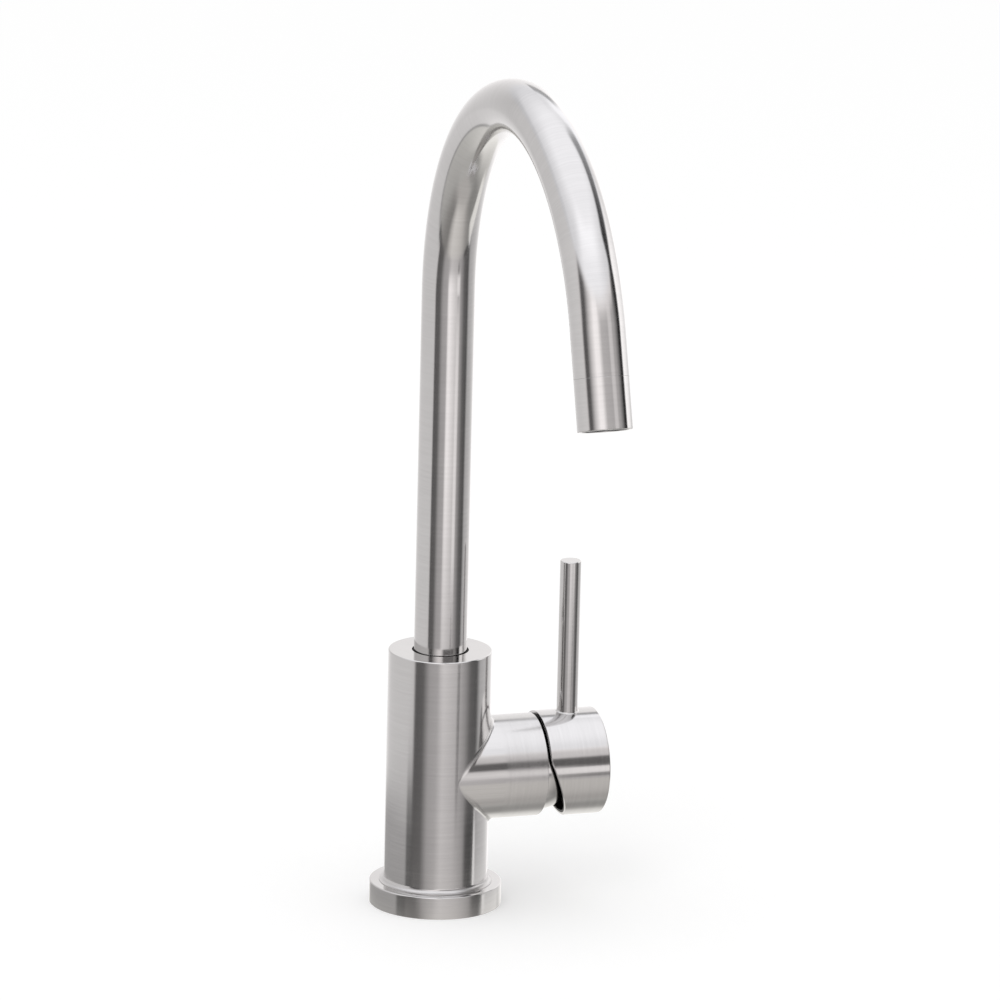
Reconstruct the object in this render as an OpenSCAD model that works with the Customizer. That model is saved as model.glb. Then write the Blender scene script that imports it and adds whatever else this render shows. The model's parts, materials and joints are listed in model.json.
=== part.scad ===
// Gooseneck bar faucet with one side lever, taken apart into its real pieces.
// Millimetres. The origin is on the deck under the column's axis and Z is up.
// The spout points to -Y and the handle to +X.

/* [Base] */
// Diameter of the round base ring
base_d = 50; // [48:0.5:60]
// Height of the base ring
base_h = 8.5; // [7:0.5:11]

/* [Column] */
// Diameter of the upright column
column_d = 39.2; // [39.2:0.1:41]
// Height of the column's top above the deck
column_top = 99; // [98:1:115]
// Radius of the flare where the column meets the base ring
foot_flare = 1.8; // [0.6:0.1:2.4]

/* [Side barrel] */
// Diameter of the side barrel
barrel_d = 39; // [38:0.1:39.1]
// Height of the barrel's axis above the deck
barrel_z = 51.4; // [51:0.1:52]
// Distance from the column's axis to the barrel's end face
barrel_end = 38.2; // [38:0.1:38.4]
// Radius of the ball that would roll along the cast fillet at the barrel's root
root_ball = 3.5; // [2:0.1:4]

/* [Spout] */
// Outside diameter of the gooseneck tube
tube_d = 20; // [19.6:0.1:20.4]
// Wall of the gooseneck tube
tube_wall = 1.2; // [1:0.1:1.3]
// Height at which the bend starts
bend_z = 237.7; // [180:0.1:280]
// Centreline radius of the bend
bend_r = 87.9; // [60:0.1:110]
// Angle that the bend turns through
bend_angle = 162.2; // [120:0.1:180]
// Straight length after the bend, with the outlet sleeve
outlet_run = 36.5; // [30:0.5:60]
// Length of the outlet sleeve, which ends at the hairline seam
sleeve_len = 19; // [19:0.5:24]

/* [Handle] */
// Diameter of the handle hub
hub_d = 40.4; // [40:0.1:42]
// Length of the handle hub
hub_len = 23.2; // [22.6:0.1:25]
// Gap between the barrel's end and the hub's rim
hub_gap = 0.9; // [0.7:0.1:1.2]
// Angle by which the hub's lower rim is cut back for the tilt
cut_back_angle = 20; // [19:0.1:25]
// Height above the hub's axis at which the cut starts
cut_back_start = 6; // [4:0.1:9]
// Radius that softens the rim where the cut starts
cut_back_round = 12; // [2:0.5:20]
// Diameter of the lever rod
rod_d = 8; // [6:0.1:9]
// Height of the rod's top above the hub's axis
rod_top = 79.1; // [60:0.1:100]
// Distance from the column's axis to the rod's axis
rod_x = 51; // [50:0.1:51.2]

/* [Movement] */
// Angle by which the lever tilts from shut to full flow
tilt_travel = 25; // [15:1:25]

/* [Hidden] */
$fn = 96;

// Finishes
steel = [0.72, 0.71, 0.69];
dark_steel = [0.36, 0.35, 0.34];
brass = [0.78, 0.62, 0.32];
rubber = [0.06, 0.06, 0.06];
acetal = [0.88, 0.88, 0.85];
grey_plastic = [0.45, 0.46, 0.48];
ceramic = [0.95, 0.93, 0.88];

// Overshoot of a cutting tool past the face that it opens
over = 1;
// Gap between pieces that are pressed or screwed together
seat_gap = 0.02;
// Radial clearance of a running fit
run_gap = 0.05;
// Small chamfer on handled edges
edge = 0.5;

// Base ring and gasket
base_r = base_d / 2;
spigot_r = 17;
spigot_low = 1.5;
base_bore_r = spigot_r + 0.1;
gasket_inner_r = 18.6;
gasket_outer_r = 23.4;
gasket_h = 2.4;

// Column and its waterways
column_r = column_d / 2;
flare_lip = 0.2;
swivel_r = 10.7;
swivel_floor = 61.5;
riser_r = 3.3;
riser_low = 44;
feed_x = 5;
feed_y = 8;
feed_r = 3;
inlet_r = 4.5;
inlet_len = 12;
stud_x = -9.5;
stud_r = 3.4;
stud_len = 14;

// Grub screws, M5 with a hexagon socket
screw_r = 2.1;
hex_r = 1.45;
hex_depth = 3;
dog_r = 1.2;
dog_gap = 0.3;
groove_z = 80.5;
groove_r = 8.6;

// Side barrel. Distances along it are measured from the column's axis
barrel_r = barrel_d / 2;
root_turns = 64;
root_steps = 6;
root_sink = 0.05;
root_core = 4;
pivot_x = barrel_end + 0.4;
seat_x = pivot_x - 23.6;
cartridge_r = 12.4;
cartridge_bore_r = cartridge_r + 0.1;
nut_r = 15;
shoulder_x = pivot_x - 3.6;
nut_seat_x = shoulder_x - 0.3;

// Cartridge ports, as height above the barrel's axis and distance to the side
inlet_port = [3.2, 4.4];
outlet_port = [-4, 0];
ports = [inlet_port, [inlet_port[0], -inlet_port[1]], outlet_port];
port_r = 1.8;
seal_inner_r = 2.2;
seal_outer_r = 3.2;
seal_pocket_r = seal_outer_r + 0.05;
port_seal_depth = 1.5;
disc_seal_depth = 1.2;
lug_z = -9.3;
lug_r = 1.5;
lug_len = 2.2;

// Cartridge stack along the barrel
base_low = seat_x + 0.5;
base_high = base_low + 4;
fixed_low = base_high + 0.5;
disc_h = 3;
fixed_high = fixed_low + disc_h;
moving_low = fixed_high + seat_gap;
moving_high = moving_low + disc_h;
fixed_r = 10.4;
key_w = 2.4;
key_low = 9.6;
key_r = 11.1;
key_rise = 2;
key_room = fixed_r - key_low + run_gap;
hollow_r = 11.2;
hollow_high = pivot_x - 4.8;
neck_r = 9.4;
neck_high = pivot_x + 3.8;

// Moving disc set, drawn with the lever shut
ball_arm = 9;
disc_shift = -ball_arm * sin(tilt_travel) / 2;
moving_r = 8.9;
mix_depth = 1.7;
mix_r = 3.9;
mix_at = [-3, 0];
lobe_r = 3;
lobe_at = [-1.2, 1.8];
plate_r = 8.8;
plate_half = 7.05;
plate_high = pivot_x - 7.2;
ball_r = 2.8;
socket_r = ball_r + 0.15;
peg_r = 1;
peg_y = 5.9;
peg_len = 1;

// Stem carrier
carrier_r = 7;
carrier_high = pivot_x + 4.6;
flange_r = 10.8;
flange_low = pivot_x - 6.7;
flange_high = pivot_x - 5;
leg_low = moving_high + 0.3;
leg_gap = 0.1;
slot_half = 3.1;
slot_room = 0.7;
pin_r = 1.5;
pin_half = 6.2;

// Stem
stem_half = 3;
stem_neck_r = 1.7;
shank_low = pivot_x - 4;
stem_high = pivot_x + 21.4;

// Bonnet and retaining nut
bonnet_r = 17.3;
bonnet_wall = 1.6;
bonnet_flange = 2.6;
bonnet_mouth = 8.6;
nut_bore_r = 9.6;
nut_face_x = pivot_x - 0.6;
collar_r = 13;
collar_high = pivot_x + 2.8;
notch_w = 3;
notch_depth = 1.5;

// Handle hub
hub_r = hub_d / 2;
arc_lead = 2;
hub_in = barrel_end + hub_gap;
hub_out = hub_in + hub_len;
hub_edge = 0.4;
cavity_r = 18.4;
skirt_r = 18.3;
skirt_depth = 12.9;
lug_half = 6.5;
boss_r = 6.5;
boss_low = pivot_x + 11.4;
boss_high = pivot_x + 19;
set_screw_x = pivot_x + 16.4;
set_screw_len = 8.5;
plug_r = 2.8;
plug_low = 17.4;
access_low = 13;

// Lever rod
rod_r = rod_d / 2;
rod_cove = 2;
rod_lip = 0.15;
rod_thread_r = 2.5;
rod_thread_low = 15.2;

// Foot of the spout
tube_r = tube_d / 2;
bore_r = tube_r - tube_wall;
tube_foot = 88;
connector_low = 62;
connector_r = 10.3;
connector_bore_r = 6;
connector_high = 104;
wiper_low = column_top - 3.8;
wiper_high = column_top - 0.8;
slip_r = swivel_r - run_gap;
slip_groove_r = 9;
slip_h = 3;
slip_lows = [63.2, 84];
o_ring_section = 1.12;
o_ring_groove_r = 8.4;
o_ring_groove_w = 3;
o_ring_heights = [70.5, 75.5];

// Straight end of the tube, sized a little thinner on each face to take the sleeve
sizing = 0.02;
sized_overlap = 0.5;
sized_len = outlet_run - sleeve_len + sized_overlap;

// Outlet. Distances run from the sleeve's seam to the mouth
seam_bevel = 0.15;
sleeve_spigot_len = 8;
sleeve_spigot_r = bore_r - seat_gap;
sleeve_bore_r = 7.4;
aerator_seat = 5;
aerator_bore_r = 8.6;
washer_h = 1.2;
washer_inner_r = 6.6;
aerator_r = aerator_bore_r - run_gap;
aerator_inner_r = 7.2;
aerator_lip_r = 6.2;
aerator_lip_h = 1.5;
aerator_high = sleeve_len - 1;
key_notch = 1.6;
insert_low = aerator_seat + 4.5;
insert_r = aerator_inner_r - seat_gap;
screen_h = 0.8;
insert_pitch = 2.6;
insert_hole_r = 1;
screen_pitch = 1.8;
screen_hole_r = 0.6;

// ---- Helpers ----

// A plain ring turned about Z
module ring(outer_r, inner_r, low, high) {
    rotate_extrude() translate([inner_r, low]) square([outer_r - inner_r, high - low]);
}

// A rod about Z with a chamfer round its upper end
module rod(r, low, high, bevel) {
    rotate_extrude() polygon([[0, low], [r, low], [r, high - bevel], [r - bevel, high], [0, high]]);
}

// The outline of a rod that flares into a flat at the height foot
module flared_outline(r, cove, lip, foot, high, bevel) {
    difference() {
        union() {
            polygon([[0, foot], [r, foot], [r, high - bevel], [r - bevel, high], [0, high]]);
            translate([0, foot]) square([r + cove, lip + cove]);
        }
        translate([r + cove, foot + lip + cove]) circle(r = cove);
    }
}

// A drilled passage from one point to another
module drill(from, to, r) {
    run = to - from;
    turn = [0, acos(run[2] / norm(run)), atan2(run[1], run[0])];
    translate(from) rotate(turn) cylinder(r = r, h = norm(run));
}

// Local Z runs out along the side barrel, and local X points up
module on_barrel() {
    translate([0, 0, barrel_z]) rotate([0, 90, 0]) rotate([0, 0, 180]) children();
}

// Local Z runs out of the outlet, from a point past the end of the bend
module past_bend(run) {
    translate([0, -bend_r, bend_z]) rotate([bend_angle, 0, 0]) translate([0, bend_r, run])
        children();
}

// Copies at each port of the cartridge
module at_ports() {
    for (p = ports) translate([p[0], p[1], 0]) children();
}

// Round holes in rings about the middle, each ring one pitch further out
module hole_field(rings, pitch, r, low, high) {
    for (k = [0 : rings], i = [0 : max(6 * k, 1) - 1])
        rotate([0, 0, 60 * i / max(k, 1)]) translate([k * pitch, 0, low]) cylinder(r = r, h = high - low);
}

// A grub screw that points along -Z with its socket at the top
module grub_screw(low, high) {
    difference() {
        rod(screw_r, low, high, edge / 2);
        translate([0, 0, high - hex_depth]) cylinder(r = hex_r, h = hex_depth + over, $fn = 6);
    }
}

// ---- Standing part ----

module column_blank() {
    rotate_extrude() flared_outline(column_r, foot_flare, flare_lip, base_h, column_top, edge);
    translate([0, 0, spigot_low]) cylinder(r = spigot_r, h = base_h - spigot_low + over);
}

// Hot and cold feeds, the outlet riser and the bore that the spout swivels in
module waterways() {
    riser_port = [seat_x + over, 0, barrel_z + outlet_port[0]];
    translate([0, 0, swivel_floor]) cylinder(r = swivel_r, h = column_top - swivel_floor + over);
    translate([0, 0, riser_low]) cylinder(r = riser_r, h = swivel_floor - riser_low + over);
    drill(riser_port, [0, 0, riser_port[2]], port_r);
    for (side = [-1, 1]) {
        port = [seat_x + over, side * inlet_port[1], barrel_z + inlet_port[0]];
        elbow = [feed_x, side * feed_y, port[2]];
        drill(port, elbow, port_r);
        translate([feed_x, side * feed_y, 0]) cylinder(r = feed_r, h = elbow[2] + port_r);
        translate([feed_x, side * feed_y, 0]) cylinder(r = inlet_r, h = spigot_low + inlet_len);
    }
}

// The ball touches the column and the barrel. It shrinks at the sides, where they run into each other
function root_ball_at(turn) = root_ball * (1 - pow(sin(turn), 4));

function root_ball_centre(turn) =
    let (ball = root_ball_at(turn), side = (barrel_r + ball) * sin(turn))
    [sqrt(pow(column_r + ball, 2) - side * side), side, (barrel_r + ball) * cos(turn)];

// From the ball's centre towards the column at share 0 and towards the barrel at share 1
function root_point(turn, share, depth) =
    let (centre = root_ball_centre(turn),
        to_column = -[centre[0], centre[1], 0] / norm([centre[0], centre[1]]),
        to_barrel = -[0, centre[1], centre[2]] / norm([centre[1], centre[2]]),
        way = to_column * (1 - share) + to_barrel * share)
    centre + way / norm(way) * (root_ball_at(turn) + depth);

// The ball's trace is closed by a core line inside the casting
module root_fillet() {
    count = root_steps + 2;
    turns = [for (i = [0 : root_turns - 1]) 360 * i / root_turns];
    trace = [for (turn = turns) each [
        for (k = [0 : root_steps]) root_point(turn, k / root_steps, root_sink),
        root_point(turn, 0.5, root_core)]];
    corners = [for (i = [0 : root_turns - 1], k = [0 : count - 1])
        let (next = (i + 1) % root_turns, up = (k + 1) % count)
        [i * count + k, i * count + up, next * count + up, next * count + k]];
    faces = [for (c = corners) each [[c[0], c[1], c[2]], [c[0], c[2], c[3]]]];
    translate([0, 0, barrel_z]) polyhedron(trace, faces);
}

module cartridge_cavity() {
    on_barrel() {
        translate([0, 0, seat_x]) cylinder(r = cartridge_bore_r, h = barrel_end);
        translate([0, 0, nut_seat_x]) cylinder(r = nut_r, h = barrel_end);
        translate([lug_z, 0, seat_x - lug_len]) cylinder(r = lug_r + run_gap, h = lug_len + over);
    }
}

module body() color(steel) difference() {
    union() {
        column_blank();
        on_barrel() rod(barrel_r, 0, barrel_end, edge);
        root_fillet();
    }
    waterways();
    cartridge_cavity();
    translate([stud_x, 0, 0]) cylinder(r = stud_r, h = spigot_low + stud_len);
    translate([0, 0, groove_z]) rotate([-90, 0, 0]) cylinder(r = screw_r, h = column_d);
}

module escutcheon() color(steel) difference() {
    rotate_extrude() polygon([[base_bore_r, 0], [base_r, 0], [base_r, base_h - edge],
        [base_r - edge, base_h], [base_bore_r, base_h]]);
    ring(gasket_outer_r + run_gap, gasket_inner_r - run_gap, -over, gasket_h);
}

module base_gasket() color(rubber) ring(gasket_outer_r, gasket_inner_r, 0, gasket_h);

module spout_wiper_ring() color(rubber) ring(swivel_r, tube_r + run_gap, wiper_low, wiper_high);

module spout_retaining_screw() color(dark_steel) {
    tip = groove_r + dog_gap;
    translate([0, 0, groove_z]) rotate([-90, 0, 0]) {
        grub_screw(swivel_r, column_r - edge);
        translate([0, 0, tip]) cylinder(r = dog_r, h = swivel_r - tip + edge);
    }
}

// ---- Cartridge ----

module cartridge_base() color(grey_plastic) on_barrel() difference() {
    union() {
        rod(cartridge_r - seat_gap, base_low, base_high, 0);
        translate([lug_z, 0, seat_x - lug_len + seat_gap]) cylinder(r = lug_r, h = lug_len + over);
        intersection() {
            ring(key_r, key_low, base_low, base_high + key_rise);
            translate([-key_w / 2, -cartridge_r, base_low])
                cube([key_w, 2 * cartridge_r, base_high - base_low + key_rise]);
        }
    }
    at_ports() {
        translate([0, 0, base_low - over]) cylinder(r = port_r, h = disc_h + base_high);
        translate([0, 0, base_low - over]) cylinder(r = seal_pocket_r, h = port_seal_depth + over);
        translate([0, 0, base_high - disc_seal_depth]) cylinder(r = seal_pocket_r, h = disc_h);
    }
}

module port_seals() color(rubber) on_barrel() at_ports()
    ring(seal_outer_r, seal_inner_r, seat_x, base_low + port_seal_depth);

module disc_seals() color(rubber) on_barrel() at_ports()
    ring(seal_outer_r, seal_inner_r, base_high - disc_seal_depth, fixed_low);

module fixed_disc() color(ceramic) on_barrel() difference() {
    translate([0, 0, fixed_low]) cylinder(r = fixed_r, h = disc_h);
    at_ports() translate([0, 0, fixed_low - over]) cylinder(r = port_r, h = disc_h + 2 * over);
    for (side = [-1, 1])
        translate([-key_w / 2 - run_gap, side * fixed_r - key_room, fixed_low - over])
            cube([key_w + 2 * run_gap, 2 * key_room, disc_h + 2 * over]);
}

module cartridge_housing() color(grey_plastic) on_barrel() rotate_extrude() polygon([
    [hollow_r, base_high], [cartridge_r, base_high], [cartridge_r, shoulder_x],
    [neck_r, shoulder_x], [neck_r, neck_high - edge], [neck_r - edge, neck_high],
    [carrier_r + run_gap, neck_high], [carrier_r + run_gap, hollow_high], [hollow_r, hollow_high]]);

module retaining_nut() color(brass) on_barrel() difference() {
    rotate_extrude() polygon([[nut_bore_r, shoulder_x], [nut_r - seat_gap, shoulder_x],
        [nut_r - seat_gap, nut_face_x], [collar_r, nut_face_x], [collar_r, collar_high - edge],
        [collar_r - edge, collar_high], [nut_bore_r, collar_high]]);
    for (turn = [0, 90])
        rotate([0, 0, turn]) translate([-notch_w / 2, -nut_r, collar_high - notch_depth])
            cube([notch_w, 2 * nut_r, notch_depth + over]);
}

module bonnet() color(steel) on_barrel() translate([0, 0, pivot_x]) difference() {
    sphere(r = bonnet_r);
    translate([0, 0, barrel_end - pivot_x - 2 * bonnet_r]) cylinder(r = 2 * bonnet_r, h = 2 * bonnet_r);
    translate([0, 0, bonnet_mouth]) cylinder(r = 2 * bonnet_r, h = bonnet_r);
    translate([0, 0, -bonnet_r]) cylinder(r = collar_r + seat_gap, h = 2 * bonnet_r);
    difference() {
        sphere(r = bonnet_r - bonnet_wall);
        translate([0, 0, bonnet_flange - 2 * bonnet_r]) cylinder(r = 2 * bonnet_r, h = 2 * bonnet_r);
    }
}

// ---- Spout ----

module tube_section() {
    difference() {
        circle(r = tube_r);
        circle(r = bore_r);
    }
}

module spout_tube() color(steel) {
    translate([0, 0, tube_foot]) linear_extrude(bend_z - tube_foot) tube_section();
    translate([0, -bend_r, bend_z]) rotate([90, 0, 90]) rotate_extrude(angle = bend_angle)
        translate([bend_r, 0]) tube_section();
    past_bend(-sized_overlap) rotate_extrude() polygon([[bore_r + sizing, 0], [tube_r - sizing, 0],
        [tube_r - sizing, sized_len - seam_bevel], [tube_r - sizing - seam_bevel, sized_len],
        [bore_r + sizing, sized_len]]);
}

module spout_connector() color(brass) difference() {
    union() {
        translate([0, 0, connector_low]) cylinder(r = connector_r, h = tube_foot - connector_low);
        rod(bore_r - seat_gap, tube_foot - over, connector_high, edge);
    }
    translate([0, 0, connector_low - over]) cylinder(r = connector_bore_r, h = connector_high);
    for (low = slip_lows) ring(swivel_r, slip_groove_r, low, low + slip_h);
    for (z = o_ring_heights)
        ring(swivel_r, o_ring_groove_r, z - o_ring_groove_w / 2, z + o_ring_groove_w / 2);
    ring(swivel_r, groove_r, groove_z - screw_r + dog_r / 2, groove_z + screw_r - dog_r / 2);
}

module spout_o_rings() color(rubber) for (z = o_ring_heights)
    rotate_extrude() translate([slip_r - o_ring_section, z]) circle(r = o_ring_section);

module slip_ring(low) color(acetal)
    ring(slip_r, slip_groove_r + seat_gap, low + seat_gap, low + slip_h - seat_gap);

module lower_slip_ring() slip_ring(slip_lows[0]);

module upper_slip_ring() slip_ring(slip_lows[1]);

module outlet_sleeve() color(steel) past_bend(outlet_run - sleeve_len) rotate_extrude() polygon([
    [sleeve_bore_r, -sleeve_spigot_len], [sleeve_spigot_r - edge, -sleeve_spigot_len],
    [sleeve_spigot_r, edge - sleeve_spigot_len], [sleeve_spigot_r, 0], [tube_r - seam_bevel, 0],
    [tube_r, seam_bevel], [tube_r, sleeve_len - edge / 2], [tube_r - edge / 2, sleeve_len],
    [aerator_bore_r + edge / 2, sleeve_len], [aerator_bore_r, sleeve_len - edge / 2],
    [aerator_bore_r, aerator_seat], [sleeve_bore_r, aerator_seat]]);

module aerator_washer() color(rubber) past_bend(outlet_run - sleeve_len)
    ring(aerator_r, washer_inner_r, aerator_seat, aerator_seat + washer_h);

module aerator_housing() color(grey_plastic) past_bend(outlet_run - sleeve_len) difference() {
    rotate_extrude() polygon([[aerator_inner_r, aerator_seat + washer_h],
        [aerator_r, aerator_seat + washer_h], [aerator_r, aerator_high], [aerator_lip_r, aerator_high],
        [aerator_lip_r, aerator_high - aerator_lip_h], [aerator_inner_r, aerator_high - aerator_lip_h]]);
    for (turn = [0, 45, 90, 135])
        rotate([0, 0, turn]) translate([-key_notch / 2, -tube_r, aerator_high - key_notch / 2])
            cube([key_notch, 2 * tube_r, key_notch]);
}

module aerator_insert() color(acetal) past_bend(outlet_run - sleeve_len) difference() {
    rod(insert_r, insert_low, aerator_high - aerator_lip_h, 0);
    hole_field(2, insert_pitch, insert_hole_r, insert_low - over, sleeve_len);
}

module aerator_screen() color(steel) past_bend(outlet_run - sleeve_len) difference() {
    rod(insert_r, insert_low - screen_h, insert_low, 0);
    hole_field(3, screen_pitch, screen_hole_r, insert_low - over - screen_h, insert_low + over);
}

// ---- Stem carrier ----

// The room that the stem sweeps in the plane of its tilt
module stem_slot() {
    reach = 12;
    near = stem_half + slot_room;
    far = near + reach * tan(tilt_travel);
    translate([0, slot_half, pivot_x]) rotate([90, 0, 0]) linear_extrude(2 * slot_half)
        polygon([[near, reach], [near, 0], [far, -reach], [-near, -reach], [-near, 0], [-far, reach]]);
}

module stem_carrier() color(acetal) on_barrel() difference() {
    union() {
        rod(carrier_r, flange_low, carrier_high, edge);
        translate([0, 0, flange_low]) cylinder(r = flange_r, h = flange_high - flange_low);
        difference() {
            translate([0, 0, leg_low]) cylinder(r = flange_r, h = flange_high - leg_low);
            translate([-nut_r, -plate_half - leg_gap, leg_low - over])
                cube([2 * nut_r, 2 * (plate_half + leg_gap), flange_low - leg_low + over]);
        }
    }
    stem_slot();
    translate([0, 0, pivot_x]) rotate([90, 0, 0]) cylinder(r = pin_r, h = 2 * nut_r, center = true);
}

module pivot_pin() color(dark_steel) on_barrel() translate([0, 0, pivot_x]) rotate([90, 0, 0])
    cylinder(r = pin_r, h = 2 * pin_half, center = true);

// ---- Sliding disc set ----

module moving_disc() color(ceramic) on_barrel() difference() {
    translate([disc_shift, 0, moving_low]) cylinder(r = moving_r, h = disc_h);
    translate([mix_at[0], 0, moving_low - over]) cylinder(r = mix_r, h = mix_depth + over);
    for (side = [-1, 1]) {
        translate([lobe_at[0], side * lobe_at[1], moving_low - over])
            cylinder(r = lobe_r, h = mix_depth + over);
        translate([disc_shift, side * peg_y, moving_high - peg_len])
            cylinder(r = peg_r, h = peg_len + over);
    }
}

module drive_plate() color(grey_plastic) on_barrel() difference() {
    union() {
        intersection() {
            translate([disc_shift, 0, moving_high]) cylinder(r = plate_r, h = plate_high - moving_high);
            translate([-nut_r, -plate_half, moving_high]) cube([2 * nut_r, 2 * plate_half, nut_r]);
        }
        for (side = [-1, 1])
            translate([disc_shift, side * peg_y, moving_high - peg_len])
                cylinder(r = peg_r, h = peg_len + over);
    }
    translate([0, 0, moving_high - over]) cylinder(r = socket_r, h = nut_r);
}

// ---- Lever ----

module stem() color(dark_steel) on_barrel() difference() {
    union() {
        translate([-stem_half, -stem_half, shank_low])
            cube([2 * stem_half, 2 * stem_half, stem_high - shank_low]);
        translate([0, 0, pivot_x - ball_arm]) sphere(r = ball_r);
        translate([0, 0, pivot_x - ball_arm]) cylinder(r = stem_neck_r, h = ball_arm);
    }
    translate([0, 0, pivot_x]) rotate([90, 0, 0])
        cylinder(r = pin_r + run_gap, h = 4 * stem_half, center = true);
}

module hub_outside() {
    on_barrel() rotate_extrude() polygon([[0, hub_in], [hub_r - hub_edge, hub_in],
        [hub_r, hub_in + hub_edge], [hub_r, hub_out - edge], [hub_r - edge, hub_out], [0, hub_out]]);
}

// A spherical hollow about the pivot, deepened to a thin skirt except under the rod
module hub_hollow() {
    on_barrel() {
        translate([0, 0, pivot_x]) sphere(r = cavity_r);
        difference() {
            translate([0, 0, barrel_end]) cylinder(r = skirt_r, h = pivot_x - barrel_end + skirt_depth);
            translate([0, -lug_half, barrel_end - over]) cube([hub_r, 2 * lug_half, hub_len + 2 * over]);
        }
    }
}

// Everything inwards of the lower rim. The arc meets the end face and the slant at a slight angle
module cut_back() {
    arc_end = cut_back_round * [
        cos(arc_lead) - cos(cut_back_angle - arc_lead),
        sin(arc_lead) - sin(cut_back_angle - arc_lead)];
    arc_top = [0, cut_back_start - arc_end[1] - arc_end[0] / tan(cut_back_angle)];
    slant_top = arc_top + arc_end;
    slant_end = slant_top + hub_d * [sin(cut_back_angle), -cos(cut_back_angle)];
    translate([hub_in, hub_d, barrel_z]) rotate([90, 0, 0]) linear_extrude(2 * hub_d) difference() {
        polygon([[-hub_d, arc_top[1]], arc_top, slant_top, slant_end, [-hub_d, slant_end[1]]]);
        translate(arc_top + cut_back_round * [cos(arc_lead), sin(arc_lead)]) circle(r = cut_back_round);
    }
}

module hub() color(steel) difference() {
    union() {
        difference() {
            hub_outside();
            hub_hollow();
            cut_back();
        }
        on_barrel() translate([0, 0, boss_low]) cylinder(r = boss_r, h = boss_high - boss_low);
    }
    on_barrel() translate([-stem_half - run_gap, -stem_half - run_gap, boss_low - over])
        cube([2 * (stem_half + run_gap), 2 * (stem_half + run_gap),
            stem_high - boss_low + over + run_gap]);
    translate([rod_x, 0, barrel_z + rod_thread_low]) cylinder(r = rod_thread_r, h = hub_r);
    translate([set_screw_x, 0, barrel_z - hub_r]) cylinder(r = screw_r, h = hub_r);
    translate([set_screw_x, 0, barrel_z - 2 * hub_r]) cylinder(r = plug_r, h = 2 * hub_r - access_low);
}

module lever_rod() color(steel) {
    difference() {
        translate([rod_x, 0, barrel_z]) rotate_extrude()
            difference() {
                flared_outline(rod_r, rod_cove, rod_lip + edge, hub_r - edge, rod_top, edge);
                square([rod_thread_r, hub_r - edge]);
            }
        on_barrel() translate([0, 0, hub_in]) cylinder(r = hub_r, h = hub_len);
    }
    translate([rod_x, 0, barrel_z + rod_thread_low])
        cylinder(r = rod_thread_r, h = hub_r - rod_thread_low + over);
}

module hub_set_screw() color(dark_steel) translate([set_screw_x, 0, barrel_z]) rotate([180, 0, 0])
    grub_screw(stem_half, stem_half + set_screw_len);

module hub_plug() color(grey_plastic) intersection() {
    translate([set_screw_x, 0, barrel_z - 2 * hub_r]) cylinder(r = plug_r, h = 2 * hub_r - plug_low);
    on_barrel() translate([0, 0, hub_in]) cylinder(r = hub_r, h = hub_len);
}

body();
escutcheon();
base_gasket();
spout_wiper_ring();
spout_retaining_screw();
cartridge_base();
port_seals();
disc_seals();
fixed_disc();
cartridge_housing();
retaining_nut();
bonnet();
spout_tube();
spout_connector();
spout_o_rings();
upper_slip_ring();
lower_slip_ring();
outlet_sleeve();
aerator_housing();
aerator_insert();
aerator_screen();
aerator_washer();
stem_carrier();
pivot_pin();
moving_disc();
drive_plate();
stem();
hub();
lever_rod();
hub_set_screw();
hub_plug();
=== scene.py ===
import json
import math
import bmesh
import bpy
from mathutils import Matrix, Vector


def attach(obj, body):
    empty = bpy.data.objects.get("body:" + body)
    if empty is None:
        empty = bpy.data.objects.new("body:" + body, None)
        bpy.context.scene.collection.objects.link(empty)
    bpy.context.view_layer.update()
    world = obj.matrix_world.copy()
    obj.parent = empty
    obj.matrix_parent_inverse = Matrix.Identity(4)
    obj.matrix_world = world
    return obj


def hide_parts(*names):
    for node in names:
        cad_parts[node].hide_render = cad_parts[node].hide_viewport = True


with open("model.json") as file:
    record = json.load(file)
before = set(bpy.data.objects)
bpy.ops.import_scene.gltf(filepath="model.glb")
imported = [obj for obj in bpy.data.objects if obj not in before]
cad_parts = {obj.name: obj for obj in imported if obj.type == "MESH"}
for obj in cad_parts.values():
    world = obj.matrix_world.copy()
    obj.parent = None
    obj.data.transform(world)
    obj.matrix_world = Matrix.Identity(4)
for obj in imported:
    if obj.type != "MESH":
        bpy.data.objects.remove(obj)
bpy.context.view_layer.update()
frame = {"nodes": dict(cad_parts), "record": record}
bpy.context.scene.view_settings.view_transform = "Standard"
mm = 0.001
mergeWithin = 0.001 * mm
sameWithin = 0.01 * mm
print("frame loaded:", len(frame["nodes"]), "nodes")

# camera, at the photograph's angle
camera = {
    "right": (0.9484, -0.3171, 0.0),
    "up": (0.0813, 0.2431, 0.9666),
    "back": (-0.3066, -0.9167, 0.2563),
    "roll": 1.375,  # degrees, clockwise in the picture
    "distance": 3.636,
    "aimRight": 0.02124,
    "aimHeight": 0.1577,
    "lens": 349.0,
    "sensor": 36.0,
    "near": 0.1,
    "far": 50.0,
}


def addCamera(c):
    right, up, back = (Vector(c[k]).normalized() for k in ("right", "up", "back"))
    roll = math.radians(c["roll"])
    across = right * math.cos(roll) + up * math.sin(roll)
    upward = up * math.cos(roll) - right * math.sin(roll)
    place = right * c["aimRight"] + Vector((0, 0, c["aimHeight"])) + back * c["distance"]
    turn = Matrix((across, upward, back)).transposed()
    lens = bpy.data.cameras.new("camera")
    lens.lens = c["lens"]
    lens.sensor_width = c["sensor"]
    lens.clip_start = c["near"]
    lens.clip_end = c["far"]
    cam = bpy.data.objects.new("camera", lens)
    cam.matrix_world = Matrix.Translation(place) @ turn.to_4x4()
    bpy.context.collection.objects.link(cam)
    bpy.context.scene.camera = cam


addCamera(camera)
print("camera placed")


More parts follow.
